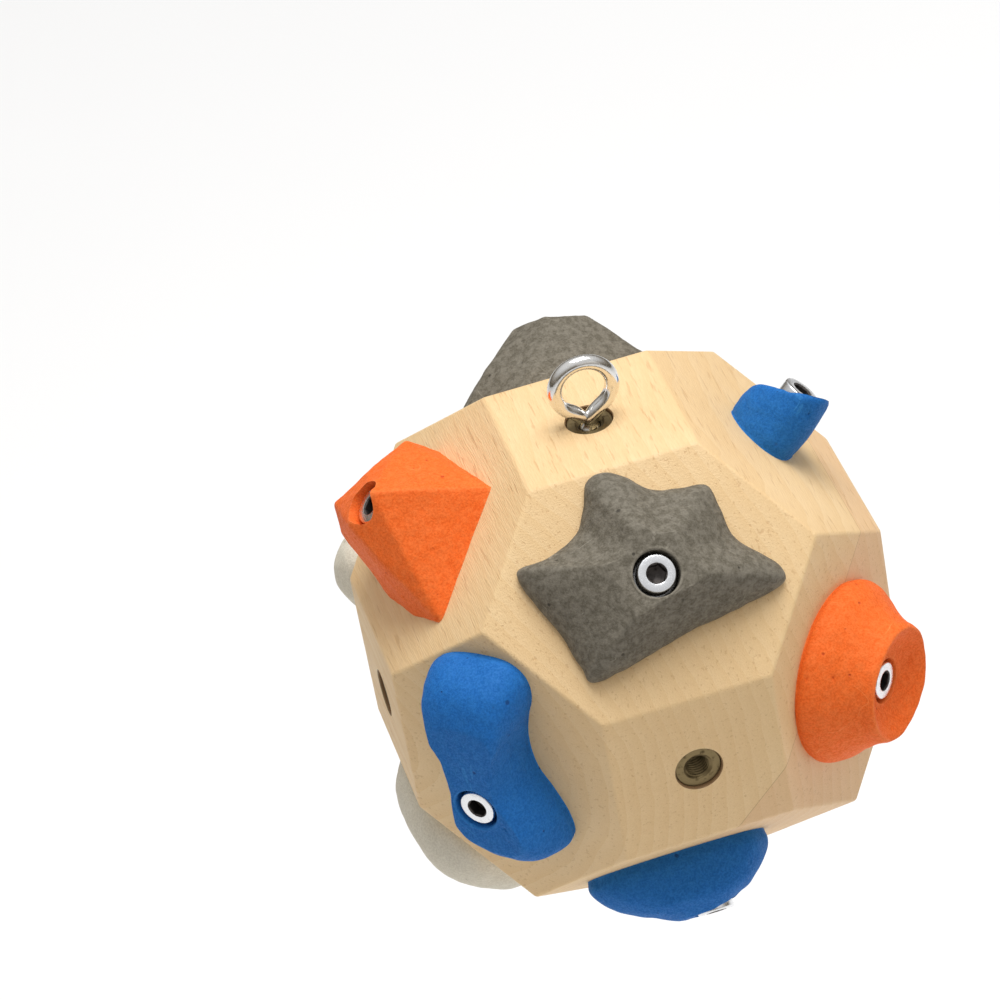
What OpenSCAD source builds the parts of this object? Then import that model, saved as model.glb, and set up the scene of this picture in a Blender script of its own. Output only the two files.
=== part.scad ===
// Hanging bouldering ball: a wooden chamfered cube with bolt-on climbing holds.
// The origin is the centre of the screw eye's ring, and the ball hangs below it.

/* [Wooden ball] */
// Distance between opposite square faces
across_squares = 175; // [160:1:230]
// Side of each square face
square_side = 59; // [52:1:70]

/* [Threaded inserts] */
// Outside diameter of an insert's body
insert_d = 12; // [11:0.5:14]
// Diameter of an insert's flange
flange_d = 16; // [15:0.5:18]
// Thickness of an insert's flange
flange_t = 1.2; // [0.8:0.1:2]
// Length of an insert, flange included
insert_len = 16; // [14:1:20]
// How far the flange lies below the face
flange_sunk = 1.2; // [0.2:0.1:2]
// Diameter of the pilot drilling under an insert
pilot_d = 6.8; // [5:0.1:7.5]
// Depth of the pilot drilling
pilot_depth = 26; // [22:1:36]

/* [Bolts] */
// Thread diameter of the bolts
bolt_d = 8; // [8:0.5:10]
// Diameter of a bolt's head
head_d = 13; // [12:0.5:16]
// Height of a bolt's head
head_h = 8; // [6:0.5:10]
// Width across the flats of the key socket
socket_af = 6; // [5:0.5:8]
// Depth of the key socket
socket_depth = 4.2; // [3:0.1:5]
// Length of thread that reaches into the insert
engaged = 13; // [10:1:16]

/* [Washers] */
// Outside diameter of a washer
washer_d = 15; // [14:0.5:18]
// Thickness of a washer
washer_t = 1.6; // [1:0.1:2.5]

/* [Screw eye] */
// Diameter of the wire
wire_d = 5.2; // [4:0.2:7]
// Inside diameter of the ring
ring_inside = 14.8; // [12:0.2:24]
// Height of the ring's lowest point above the face
ring_stand = 0.8; // [0.4:0.1:5]
// How much of the ring the bent wire covers, in degrees
ring_sweep = 350; // [335:1:352]
// Length of the shank below the face
shank_len = 15; // [10:1:16]

/* [Clearances] */
// Radial gap between a thread and its bore
thread_gap = 0.05; // [0.02:0.01:0.1]
// Radial gap between an insert and its seat in the wood
insert_gap = 0.05; // [0.02:0.01:0.1]
// Radial gap between a bolt and the bore of a hold
bore_gap = 0.4; // [0.3:0.05:0.8]
// Radial gap between the widest of washer and head and their counterbore
counterbore_gap = 0.4; // [0.3:0.05:1]

/* [Hold heights, face to washer] */
// Star hold
star_seat = 11; // [8:0.5:14]
// Wedge hold
wedge_seat = 19; // [14:0.5:22]
// Long hold
long_seat = 12.5; // [8:0.5:15]
// Knob hold
knob_seat = 13; // [8:0.5:15]
// Dish hold
dish_seat = 8.5; // [6:0.5:10]
// Ridge hold
ridge_seat = 13; // [8:0.5:15]
// Crag hold
crag_seat = 13; // [8:0.5:16]
// Slab hold
slab_seat = 10; // [8:0.5:13]
// Pebble hold
pebble_seat = 13; // [8:0.5:17]
// Shell hold
shell_seat = 11.5; // [8:0.5:14]
// Boomerang hold
boomerang_seat = 11; // [8:0.5:14]
// Crust hold
crust_seat = 11; // [8:0.5:14]

/* [Hidden] */
$fn = 64;

// The ball: squares lie at square_reach and hexagons at hexagon_reach from its centre
square_reach = across_squares / 2;
hexagon_reach = (square_reach + square_side / 2) / sqrt(2);
ring_r = (ring_inside + wire_d) / 2;
ring_centre = square_reach + ring_stand + ring_r + wire_d / 2;
thread_r = bolt_d / 2;
insert_bore_r = thread_r + thread_gap;
hold_bore_r = thread_r + bore_gap;
counterbore_r = max(washer_d, head_d) / 2 + counterbore_gap;
insert_seat_r = insert_d / 2 + insert_gap;
flange_seat_r = flange_d / 2 + insert_gap;
ring_start = -100;
head_chamfer = 0.6;
tip_chamfer = 1;
through = 80;
corner_r = 1.5;
corner_fn = 24;

// Faces as [tilt from the top, turn about the vertical]
top_face = [0, 0];
front_face = [90, 0];
right_face = [90, 90];
back_face = [90, 180];
left_face = [90, 270];
bottom_face = [180, 0];
star_face = [45, 0];
knob_face = [45, 90];
crag_face = [45, 180];
wedge_face = [45, 270];
dish_face = [90, 45];
shell_face = [90, 135];
slab_face = [90, 225];
long_face = [90, 315];
ridge_face = [135, 0];
boomerang_face = [135, 90];
crust_face = [135, 180];
pebble_face = [135, 270];
square_faces = [top_face, front_face, right_face, back_face, left_face, bottom_face];
hexagon_faces = [
    star_face, knob_face, crag_face, wedge_face,
    dish_face, shell_face, slab_face, long_face,
    ridge_face, boomerang_face, crust_face, pebble_face
];

// Outlines of the cast holds on their faces, about the bolt
star_outline = [
    [-42, 16], [-30, 18], [-19, 23], [-14, 31], [-11, 38], [-4, 40], [3, 36], [9, 30], [18, 28], [28, 26],
    [30, 17], [32, 6], [43, -7], [39, -14], [6, -20], [-26, -27], [-31, -20], [-34, -9], [-39, 3]
];
long_outline = [
    [-20.5, 37], [-20, 44], [-12, 48.5], [0, 50], [9, 49], [14.5, 44], [15.5, 36], [12.5, 26],
    [11, 16], [12.5, 5], [17.5, -4], [22, -14], [22.5, -23], [15, -28], [2, -27], [-9, -23],
    [-14.5, -16], [-14.5, -5], [-13.5, 8], [-15.5, 24]
];
knob_outline = [
    [-11, -3], [-10, 3], [-6, 7.5], [1, 11], [11, 11], [16, 5], [17, -5], [11, -13], [2, -14.5], [-7, -9]
];
ridge_outline = [
    [-40, 0], [-34, 9], [-20, 15], [0, 18], [16, 15], [24, 5], [23, -8], [12, -17], [-8, -18],
    [-26, -13], [-37, -7]
];
slab_outline = [
    [44, 0], [38, 11], [20, 18], [-4, 20], [-26, 17], [-40, 8], [-44, -4], [-34, -14], [-10, -20],
    [16, -18], [36, -11]
];
pebble_outline = [
    [38, 8], [34, 23], [17, 32], [-8, 32], [-28, 22], [-37, 4], [-32, -13], [-14, -24], [8, -26],
    [28, -17]
];
boomerang_outline = [
    [-38, 6], [-34, 17], [-21, 18], [-8, 15], [4, 17], [14, 25], [24, 37], [35, 34], [34, 18],
    [27, -2], [14, -18], [-1, -23], [-15, -19], [-28, -8]
];

// Corners of the two faceted holds
wedge_corners = [
    [33, -13, 0], [9, 27, 0], [-8, 21.5, 0], [-31, 14, 0], [-35, -4, 0], [-15, -29, 0], [0, -27, 0],
    [19, -21, 0], [-31, 13, 12.5], [-6, 21, 8], [7.5, 15.5, 20.5], [4.8, 6.2, 33.5], [-18, 2, 25],
    [-23.5, -15, 25], [-17, -20, 20], [2, -8.5, 31.5]
];
crag_corners = [
    [-36, -12, 0], [-34, 14, 0], [-12, 26, 0], [14, 26, 0], [34, 12, 0], [36, -10, 0], [16, -26, 0],
    [-14, -26, 0], [-24, -6, 19], [-17, 10, 22], [-3, 13, 25], [7, 5, 25], [18, 10, 16],
    [19, -8, 16], [3, -14, 23], [-12, -14, 22]
];

// Levels of a cast hold as [height, share of its length, share of its width]
star_levels = [
    [0, 0.97, 0.97], [2, 1, 1], [7, 0.92, 0.92], [13, 0.72, 0.72], [18, 0.5, 0.54], [21, 0.36, 0.44]
];
long_levels = [
    [0, 0.97, 0.98], [4, 1, 1], [11, 0.95, 0.96], [17, 0.86, 0.88], [21, 0.76, 0.76], [23, 0.68, 0.66]
];
knob_levels = [
    [0, 0.96, 0.96], [4, 1, 1], [11, 1, 1], [16, 0.98, 0.96], [19, 0.94, 0.92], [20.8, 0.86, 0.84]
];
ridge_levels = [
    [0, 0.98, 0.97], [4, 1, 1], [9.5, 0.9, 0.95], [16, 0.66, 0.84], [19, 0.47, 0.7], [22.5, 0.26, 0.45]
];
slab_levels = [[0, 0.98, 0.97], [4, 1, 1], [11, 0.93, 0.93], [17, 0.78, 0.76], [20.5, 0.55, 0.54]];
pebble_levels = [
    [0, 0.95, 0.95], [5, 1, 1], [12, 0.97, 0.96], [18, 0.86, 0.84], [23, 0.66, 0.62], [25.5, 0.44, 0.42]
];
shell_levels = [
    [0, 0.98, 0.98], [2, 1, 1], [8, 0.86, 0.86], [14, 0.66, 0.66], [19, 0.44, 0.44], [21.5, 0.32, 0.32]
];
boomerang_levels = [
    [0, 0.97, 0.96], [3, 1, 1], [9, 0.95, 0.94], [15, 0.86, 0.86], [19, 0.76, 0.78], [21, 0.68, 0.7]
];
crust_levels = [
    [0, 0.97, 0.97], [5, 1, 1], [10, 0.9, 0.9], [16, 0.74, 0.74], [20, 0.5, 0.5], [21.5, 0.36, 0.36]
];

// Points between those of an outline, on a smooth closed curve through them
outline_steps = 2;

// Point at t between b and c on a curve that also follows a and d
function curve_point(a, b, c, d, t) =
    b + t / 2 * (c - a) + t * t / 2 * (2 * a - 5 * b + 4 * c - d) + t * t * t / 2 * (3 * b - a - 3 * c + d);

function smooth_loop(outline) = let (n = len(outline)) [
    for (i = [0:n - 1], k = [0:outline_steps - 1])
        curve_point(outline[(i + n - 1) % n], outline[i], outline[(i + 1) % n], outline[(i + 2) % n],
            k / outline_steps)
];

// A round outline with ribs that reach out by depth, and one flattened side
function ribbed_loop(radius, ribs, depth, flat) = [
    for (i = [0:4 * ribs - 1])
        let (angle = 90 * i / ribs, reach = radius + depth * cos(ribs * angle))
            [reach * cos(angle), max(-flat, reach * sin(angle))]
];

// Solid whose rings are the loop drawn in about centre, level by level.
// Its height grows by the share in lean for each mm along x and y.
module cast_form(loop, levels, centre = [0, 0], lean = [0, 0]) {
    n = len(loop);
    rings = [
        for (level = levels, p = loop)
            let (
                x = centre[0] + (p[0] - centre[0]) * level[1],
                y = centre[1] + (p[1] - centre[1]) * level[2]
            )
                [x, y, level[0] * (1 + lean[0] * x + lean[1] * y)]
    ];
    top = (len(levels) - 1) * n;
    sides = [
        for (k = [0:len(levels) - 2], i = [0:n - 1])
            let (a = k * n + i, b = k * n + (i + 1) % n)
                each [[a, b + n, b], [a, a + n, b + n]]
    ];
    caps = [[for (i = [0:n - 1]) i], [for (i = [n - 1:-1:0]) top + i]];
    polyhedron(rings, concat(caps, sides));
}

// Faceted solid with slightly rounded corners, cut flat at the face
module faceted_form(corners) {
    difference() {
        hull() {
            for (p = corners) translate(p) sphere(r = corner_r, $fn = corner_fn);
        }
        translate([-through / 2, -through / 2, -through]) cube(through);
    }
}

// Puts what is drawn upright at the ball's centre onto a face
module on_face(face, reach) {
    translate([0, 0, -ring_centre]) rotate([face[0], 0, face[1]]) translate([0, 0, reach]) children();
}

module on_hexagon(face) {
    on_face(face, hexagon_reach) children();
}

// A hold with its bolt bore and its counterbore
module bored_hold(face, seat) {
    on_hexagon(face) difference() {
        children();
        translate([0, 0, -through / 2]) cylinder(r = hold_bore_r, h = through);
        translate([0, 0, seat]) cylinder(r = counterbore_r, h = through);
    }
}

module insert_seat(face, reach) {
    on_face(face, reach) {
        translate([0, 0, -flange_t - flange_sunk]) cylinder(r = flange_seat_r, h = through);
        translate([0, 0, -insert_len - flange_sunk]) cylinder(r = insert_seat_r, h = through);
        translate([0, 0, -pilot_depth]) cylinder(d = pilot_d, h = through);
    }
}

module insert(face, reach) {
    color("darkgoldenrod") on_face(face, reach) difference() {
        union() {
            translate([0, 0, -insert_len - flange_sunk]) cylinder(d = insert_d, h = insert_len);
            translate([0, 0, -flange_t - flange_sunk]) cylinder(d = flange_d, h = flange_t);
        }
        translate([0, 0, -through / 2]) cylinder(r = insert_bore_r, h = through);
    }
}

module washer(face, seat) {
    color("gainsboro") on_hexagon(face) translate([0, 0, seat]) difference() {
        cylinder(d = washer_d, h = washer_t);
        translate([0, 0, -through / 2]) cylinder(r = hold_bore_r, h = through);
    }
}

module bolt(face, seat) {
    head_r = head_d / 2;
    shank = seat + washer_t + engaged;
    color("silver") on_hexagon(face) translate([0, 0, seat + washer_t]) difference() {
        rotate_extrude() polygon([
            [0, -shank], [thread_r - tip_chamfer, -shank], [thread_r, tip_chamfer - shank], [thread_r, 0],
            [head_r, 0], [head_r, head_h - head_chamfer], [head_r - head_chamfer, head_h], [0, head_h]
        ]);
        translate([0, 0, head_h - socket_depth]) cylinder(d = socket_af / cos(30), h = head_h, $fn = 6);
    }
}

module wood_ball() {
    color("burlywood") difference() {
        translate([0, 0, -ring_centre]) intersection() {
            cube(across_squares, center = true);
            rotate([45, 0, 0]) cube([across_squares, 2 * hexagon_reach, 2 * hexagon_reach], center = true);
            rotate([0, 45, 0]) cube([2 * hexagon_reach, across_squares, 2 * hexagon_reach], center = true);
            rotate([0, 0, 45]) cube([2 * hexagon_reach, 2 * hexagon_reach, across_squares], center = true);
        }
        for (face = square_faces) insert_seat(face, square_reach);
        for (face = hexagon_faces) insert_seat(face, hexagon_reach);
    }
}

module hexagon_inserts() {
    for (face = hexagon_faces) insert(face, hexagon_reach);
}

// One bent wire: it rises from the shank, and the ring's end stops just short of it
module screw_eye() {
    color("silver") {
        rotate([90, 0, 0]) rotate([0, 0, ring_start])
            rotate_extrude(angle = ring_sweep) translate([ring_r, 0]) circle(d = wire_d);
        translate([0, 0, square_reach - ring_centre - shank_len])
            cylinder(r = thread_r, h = shank_len - flange_sunk - flange_t);
        translate([0, 0, square_reach - ring_centre - shank_len])
            cylinder(d = wire_d, h = shank_len + ring_stand + wire_d / 2);
    }
}

module star_hold() {
    color("dimgray") bored_hold(star_face, star_seat)
        cast_form(smooth_loop(star_outline), star_levels);
}

module wedge_hold() {
    color("orangered") bored_hold(wedge_face, wedge_seat) faceted_form(wedge_corners);
}

module long_hold() {
    color("royalblue") bored_hold(long_face, long_seat)
        cast_form(smooth_loop(long_outline), long_levels, [0, 2]);
}

module knob_hold() {
    color("royalblue") bored_hold(knob_face, knob_seat)
        cast_form(smooth_loop(knob_outline), knob_levels, [2, -1], [-0.027, -0.008]);
}

// Round hold with a dished top inside a raised rim
module dish_hold() {
    foot_r = 32;
    rim_r = 19.5;
    rim_h = 24;
    floor_h = dish_seat + washer_t + head_h + 0.5;
    color("orangered") bored_hold(dish_face, dish_seat) rotate_extrude() polygon([
        [0, 0], [foot_r - 1, 0], [foot_r, 3], [foot_r - 2, 8], [foot_r - 6.5, 13.5], [rim_r + 2.4, 19],
        [rim_r + 1.2, rim_h - 1.5], [rim_r, rim_h], [rim_r - 2, rim_h - 1], [rim_r - 6, floor_h + 1.6],
        [counterbore_r + 2, floor_h], [0, floor_h]
    ]);
}

module ridge_hold() {
    color("royalblue") bored_hold(ridge_face, ridge_seat)
        cast_form(smooth_loop(ridge_outline), ridge_levels, [-4, 0]);
}

module crag_hold() {
    color("dimgray") bored_hold(crag_face, crag_seat) faceted_form(crag_corners);
}

module slab_hold() {
    color("antiquewhite") bored_hold(slab_face, slab_seat)
        rotate([0, 0, 40]) cast_form(smooth_loop(slab_outline), slab_levels);
}

module pebble_hold() {
    color("antiquewhite") bored_hold(pebble_face, pebble_seat)
        cast_form(smooth_loop(pebble_outline), pebble_levels);
}

module shell_hold() {
    color("dimgray") bored_hold(shell_face, shell_seat)
        cast_form(ribbed_loop(36, 13, 2.5, 30), shell_levels);
}

module boomerang_hold() {
    color("royalblue") bored_hold(boomerang_face, boomerang_seat)
        rotate([0, 0, -45]) cast_form(smooth_loop(boomerang_outline), boomerang_levels, [2, -3]);
}

module crust_hold() {
    color("tomato") bored_hold(crust_face, crust_seat)
        cast_form(ribbed_loop(36, 16, 1.5, 31), crust_levels);
}

wood_ball();
screw_eye();
hexagon_inserts();
insert(top_face, square_reach);  // top_insert
insert(front_face, square_reach);  // front_insert
insert(right_face, square_reach);  // right_insert
insert(back_face, square_reach);  // back_insert
insert(left_face, square_reach);  // left_insert
insert(bottom_face, square_reach);  // bottom_insert
star_hold();
washer(star_face, star_seat);  // star_washer
bolt(star_face, star_seat);  // star_bolt
wedge_hold();
washer(wedge_face, wedge_seat);  // wedge_washer
bolt(wedge_face, wedge_seat);  // wedge_bolt
long_hold();
washer(long_face, long_seat);  // long_washer
bolt(long_face, long_seat);  // long_bolt
knob_hold();
washer(knob_face, knob_seat);  // knob_washer
bolt(knob_face, knob_seat);  // knob_bolt
dish_hold();
washer(dish_face, dish_seat);  // dish_washer
bolt(dish_face, dish_seat);  // dish_bolt
ridge_hold();
washer(ridge_face, ridge_seat);  // ridge_washer
bolt(ridge_face, ridge_seat);  // ridge_bolt
crag_hold();
washer(crag_face, crag_seat);  // crag_washer
bolt(crag_face, crag_seat);  // crag_bolt
slab_hold();
washer(slab_face, slab_seat);  // slab_washer
bolt(slab_face, slab_seat);  // slab_bolt
pebble_hold();
washer(pebble_face, pebble_seat);  // pebble_washer
bolt(pebble_face, pebble_seat);  // pebble_bolt
shell_hold();
washer(shell_face, shell_seat);  // shell_washer
bolt(shell_face, shell_seat);  // shell_bolt
boomerang_hold();
washer(boomerang_face, boomerang_seat);  // boomerang_washer
bolt(boomerang_face, boomerang_seat);  // boomerang_bolt
crust_hold();
washer(crust_face, crust_seat);  // crust_washer
bolt(crust_face, crust_seat);  // crust_bolt
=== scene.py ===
import math
import bmesh
import bpy
from mathutils import Matrix, Quaternion, Vector, geometry, noise


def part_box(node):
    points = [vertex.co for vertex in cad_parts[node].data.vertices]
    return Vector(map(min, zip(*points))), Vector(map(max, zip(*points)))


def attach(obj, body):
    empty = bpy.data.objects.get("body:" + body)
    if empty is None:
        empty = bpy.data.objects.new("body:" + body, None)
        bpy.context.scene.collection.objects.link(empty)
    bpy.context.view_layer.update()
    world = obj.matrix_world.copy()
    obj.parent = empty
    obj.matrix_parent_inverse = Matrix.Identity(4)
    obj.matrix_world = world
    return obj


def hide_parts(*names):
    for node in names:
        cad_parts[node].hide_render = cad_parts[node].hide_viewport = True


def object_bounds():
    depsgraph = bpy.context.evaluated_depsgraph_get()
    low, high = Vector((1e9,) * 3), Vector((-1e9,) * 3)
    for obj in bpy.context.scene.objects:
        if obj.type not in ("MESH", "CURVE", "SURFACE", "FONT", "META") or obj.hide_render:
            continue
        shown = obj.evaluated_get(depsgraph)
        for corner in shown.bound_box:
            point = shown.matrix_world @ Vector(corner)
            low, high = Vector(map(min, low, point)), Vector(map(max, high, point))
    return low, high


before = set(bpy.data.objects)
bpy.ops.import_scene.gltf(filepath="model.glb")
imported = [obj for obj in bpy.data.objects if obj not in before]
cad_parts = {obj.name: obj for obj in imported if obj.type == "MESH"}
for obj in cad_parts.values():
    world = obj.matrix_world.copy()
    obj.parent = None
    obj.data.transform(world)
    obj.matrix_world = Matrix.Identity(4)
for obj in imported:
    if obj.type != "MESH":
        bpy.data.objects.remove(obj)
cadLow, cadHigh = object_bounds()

mm = 0.001

# What the ball is drilled and bolted with, in millimetres as on its drawings
hardware = {
    "squareSide": 59, "pilotR": 3.4, "pilotDepth": 26, "insertR": 6, "insertSeatR": 6.05, "insertLength": 16,
    "flangeR": 8, "flangeSeatR": 8.05, "flangeThick": 1.2, "flangeSunk": 1.2, "boreR": 4.05, "threadR": 4,
    "pitch": 1.25, "threadDepth": 0.55, "headR": 6.5, "headHigh": 8, "socketFlats": 6, "socketDeep": 4.2,
    "engaged": 13, "washerR": 7.5, "washerThick": 1.6, "holdBoreR": 4.4, "counterboreR": 7.9,
}

ballLow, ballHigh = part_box("wood_ball")
ballCentre = (ballLow + ballHigh) / 2
squareReach = (ballHigh.x - ballLow.x) / 2
hexagonReach = (squareReach + hardware["squareSide"] * mm / 2) / math.sqrt(2)

# Faces as tilt from the top and turn about the vertical, in degrees
squareFaces = {
    "top": (0, 0), "front": (90, 0), "right": (90, 90),
    "back": (90, 180), "left": (90, 270), "bottom": (180, 0),
}
hexagonFaces = {
    "star": (45, 0), "knob": (45, 90), "crag": (45, 180), "wedge": (45, 270),
    "dish": (90, 45), "shell": (90, 135), "slab": (90, 225), "long": (90, 315),
    "ridge": (135, 0), "boomerang": (135, 90), "crust": (135, 180), "pebble": (135, 270),
}


def faceMatrix(face, reach):
    turn = Matrix.Rotation(math.radians(face[1]), 4, "Z")
    tilt = Matrix.Rotation(math.radians(face[0]), 4, "X")
    return Matrix.Translation(ballCentre) @ turn @ tilt @ Matrix.Translation((0, 0, reach))


def faceNormal(face):
    return (faceMatrix(face, 1) @ Vector((0, 0, 0)) - ballCentre).normalized()


# Shader helpers and groups

def addNode(tree, kind, inputs, **settings):
    node = tree.nodes.new(kind)
    for key, value in settings.items():
        setattr(node, key, value)
    for key, value in inputs.items():
        if isinstance(value, bpy.types.NodeSocket):
            tree.links.new(value, node.inputs[key])
        else:
            node.inputs[key].default_value = value
    return node


def addMath(tree, operation, first, second=0.0):
    return addNode(tree, "ShaderNodeMath", {0: first, 1: second}, operation=operation).outputs[0]


def addRange(tree, value, low, high, toLow=0.0, toHigh=1.0):
    inputs = {"Value": value, "From Min": low, "From Max": high, "To Min": toLow, "To Max": toHigh}
    return addNode(tree, "ShaderNodeMapRange", inputs, interpolation_type="SMOOTHSTEP").outputs["Result"]


def addMix(tree, factor, first, second, blend="MIX"):
    node = tree.nodes.new("ShaderNodeMix")
    node.data_type = "RGBA"
    node.blend_type = blend
    for key, value in ((0, factor), (6, first), (7, second)):
        if isinstance(value, bpy.types.NodeSocket):
            tree.links.new(value, node.inputs[key])
        else:
            node.inputs[key].default_value = value
    return node.outputs[2]


def startGroup(name, inputs, outputs):
    tree = bpy.data.node_groups.new(name, "ShaderNodeTree")
    for label, kind, value in inputs:
        socket = tree.interface.new_socket(name=label, in_out="INPUT", socket_type=kind)
        if value is not None:
            socket.default_value = value
    for label in outputs:
        tree.interface.new_socket(name=label, in_out="OUTPUT", socket_type="NodeSocketFloat")
    return tree, tree.nodes.new("NodeGroupInput").outputs, tree.nodes.new("NodeGroupOutput").inputs


def addGroup(tree, group, inputs):
    node = tree.nodes.new("ShaderNodeGroup")
    node.node_tree = group
    for key, value in inputs.items():
        if isinstance(value, bpy.types.NodeSocket):
            tree.links.new(value, node.inputs[key])
        else:
            node.inputs[key].default_value = value
    return node.outputs


number, vector = "NodeSocketFloat", "NodeSocketVector"


def buildCastGrit():
    # sand texture of a poured hold: fine grains, coarser lumps and open bubbles
    tree, given, result = startGroup(
        "castGrit",
        [("Vector", vector, None), ("Grain Per Metre", number, 1300.0), ("Bubble Per Metre", number, 260.0),
         ("Bubble Size", number, 0.2)],
        ["Grain", "Speck", "Bubble", "Height"],
    )
    grain = addNode(tree, "ShaderNodeTexNoise", {
        "Vector": given["Vector"], "Scale": given["Grain Per Metre"], "Detail": 3.0, "Roughness": 0.7,
    })
    coarsePerMetre = addMath(tree, "MULTIPLY", given["Grain Per Metre"], 0.32)
    coarse = addNode(tree, "ShaderNodeTexNoise", {
        "Vector": given["Vector"], "Scale": coarsePerMetre, "Detail": 2.0, "Roughness": 0.6,
    })
    bubble = addNode(tree, "ShaderNodeTexVoronoi",
                     {"Vector": given["Vector"], "Scale": given["Bubble Per Metre"], "Randomness": 1.0})
    thin = addMath(tree, "SUBTRACT", bubble.outputs["Color"], 0.55)
    size = addMath(tree, "MULTIPLY", addMath(tree, "MAXIMUM", thin, 0.0), given["Bubble Size"])
    ratio = addMath(tree, "DIVIDE", bubble.outputs["Distance"], addMath(tree, "ADD", size, 0.001))
    hollow = addRange(tree, ratio, 1.5, 0.6)
    tree.links.new(addRange(tree, grain.outputs["Fac"], 0.32, 0.68), result["Grain"])
    tree.links.new(addRange(tree, coarse.outputs["Fac"], 0.36, 0.66), result["Speck"])
    # the bubble mask also paints shade inside the pits
    tree.links.new(hollow, result["Bubble"])
    relief = addMath(tree, "ADD", grain.outputs["Fac"], addMath(tree, "MULTIPLY", coarse.outputs["Fac"], 0.8))
    tree.links.new(addMath(tree, "SUBTRACT", relief, hollow), result["Height"])
    return tree


def buildEdgeWearAndShade():
    # rubbed ridges, and hollows for painted shade, from how sharply the surface bends
    tree, given, result = startGroup(
        "edgeWearAndShade",
        [("Vector", vector, None), ("Pointiness", number, 0.5), ("Reach", number, 0.05),
         ("Break Up", number, 0.5)],
        ["Ridge", "Hollow"],
    )
    patch = addNode(tree, "ShaderNodeTexNoise", {"Vector": given["Vector"], "Scale": 160.0, "Detail": 4.0})
    spread = addMath(tree, "SUBTRACT", patch.outputs["Fac"], 0.5)
    spread = addMath(tree, "MULTIPLY", spread, given["Break Up"])
    bend = addMath(tree, "SUBTRACT", given["Pointiness"], 0.5)
    scaled = addMath(tree, "DIVIDE", bend, given["Reach"])
    tree.links.new(addRange(tree, addMath(tree, "ADD", scaled, spread), 0.15, 1.0), result["Ridge"])
    tree.links.new(addRange(tree, addMath(tree, "SUBTRACT", spread, scaled), 0.15, 1.0), result["Hollow"])
    return tree


def buildChalkDust():
    # chalk and skin dust left in blurred patches, with a few dry scrapes
    tree, given, result = startGroup(
        "chalkDust",
        [("Vector", vector, None), ("Patch Per Metre", number, 55.0), ("Cover", number, 0.4),
         ("Scrape Per Metre", number, 40.0)],
        ["Dust", "Scrape"],
    )
    patch = addNode(tree, "ShaderNodeTexNoise", {
        "Vector": given["Vector"], "Scale": given["Patch Per Metre"], "Detail": 5.0, "Roughness": 0.62,
    })
    edge = addMath(tree, "SUBTRACT", 1.0, given["Cover"])
    dust = addRange(tree, patch.outputs["Fac"], edge, addMath(tree, "ADD", edge, 0.3))
    tree.links.new(dust, result["Dust"])
    swirl = addNode(tree, "ShaderNodeTexNoise", {
        "Vector": given["Vector"], "Scale": given["Scrape Per Metre"], "Detail": 1.0, "Distortion": 1.4,
    })
    nearLine = addMath(tree, "ABSOLUTE", addMath(tree, "SUBTRACT", swirl.outputs["Fac"], 0.5))
    line = addRange(tree, nearLine, 0.006, 0.001)
    gate = addNode(tree, "ShaderNodeTexNoise", {"Vector": given["Vector"], "Scale": 90.0, "Detail": 2.0})
    scrape = addMath(tree, "MULTIPLY", line, addRange(tree, gate.outputs["Fac"], 0.56, 0.66))
    tree.links.new(scrape, result["Scrape"])
    return tree


def buildWoodGrain():
    # growth rings round a heart line along Y, short ray flecks and soft mottling
    tree, given, result = startGroup(
        "woodGrain",
        [("Vector", vector, None), ("Rings Per Metre", number, 190.0), ("Fleck Per Metre", number, 900.0),
         ("Waver", number, 6.0)],
        ["Ring", "Fleck", "Pore", "Mottle"],
    )
    # a wave texture shows one ring in each pi units of its scale
    ringScale = addMath(tree, "MULTIPLY", given["Rings Per Metre"], 0.3183)
    rings = addNode(tree, "ShaderNodeTexWave", {
        "Vector": given["Vector"], "Scale": ringScale, "Distortion": given["Waver"], "Detail": 3.0,
        "Detail Scale": 0.35, "Detail Roughness": 0.55,
    }, wave_type="RINGS", rings_direction="Y", wave_profile="SAW")
    tree.links.new(rings.outputs["Fac"], result["Ring"])
    stretched = addNode(tree, "ShaderNodeMapping", {"Vector": given["Vector"], "Scale": (1.0, 0.09, 1.0)})
    fleck = addNode(tree, "ShaderNodeTexNoise",
                    {"Vector": stretched.outputs["Vector"], "Scale": given["Fleck Per Metre"], "Detail": 2.0,
                     "Roughness": 0.5})
    tree.links.new(addRange(tree, fleck.outputs["Fac"], 0.6, 0.7), result["Fleck"])
    pore = addNode(tree, "ShaderNodeTexNoise",
                   {"Vector": stretched.outputs["Vector"], "Detail": 1.0,
                    "Scale": addMath(tree, "MULTIPLY", given["Fleck Per Metre"], 2.6)})
    tree.links.new(addRange(tree, pore.outputs["Fac"], 0.35, 0.65), result["Pore"])
    mottle = addNode(tree, "ShaderNodeTexNoise",
                     {"Vector": given["Vector"], "Scale": 22.0, "Detail": 4.0, "Roughness": 0.6})
    tree.links.new(addRange(tree, mottle.outputs["Fac"], 0.3, 0.7), result["Mottle"])
    return tree


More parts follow.
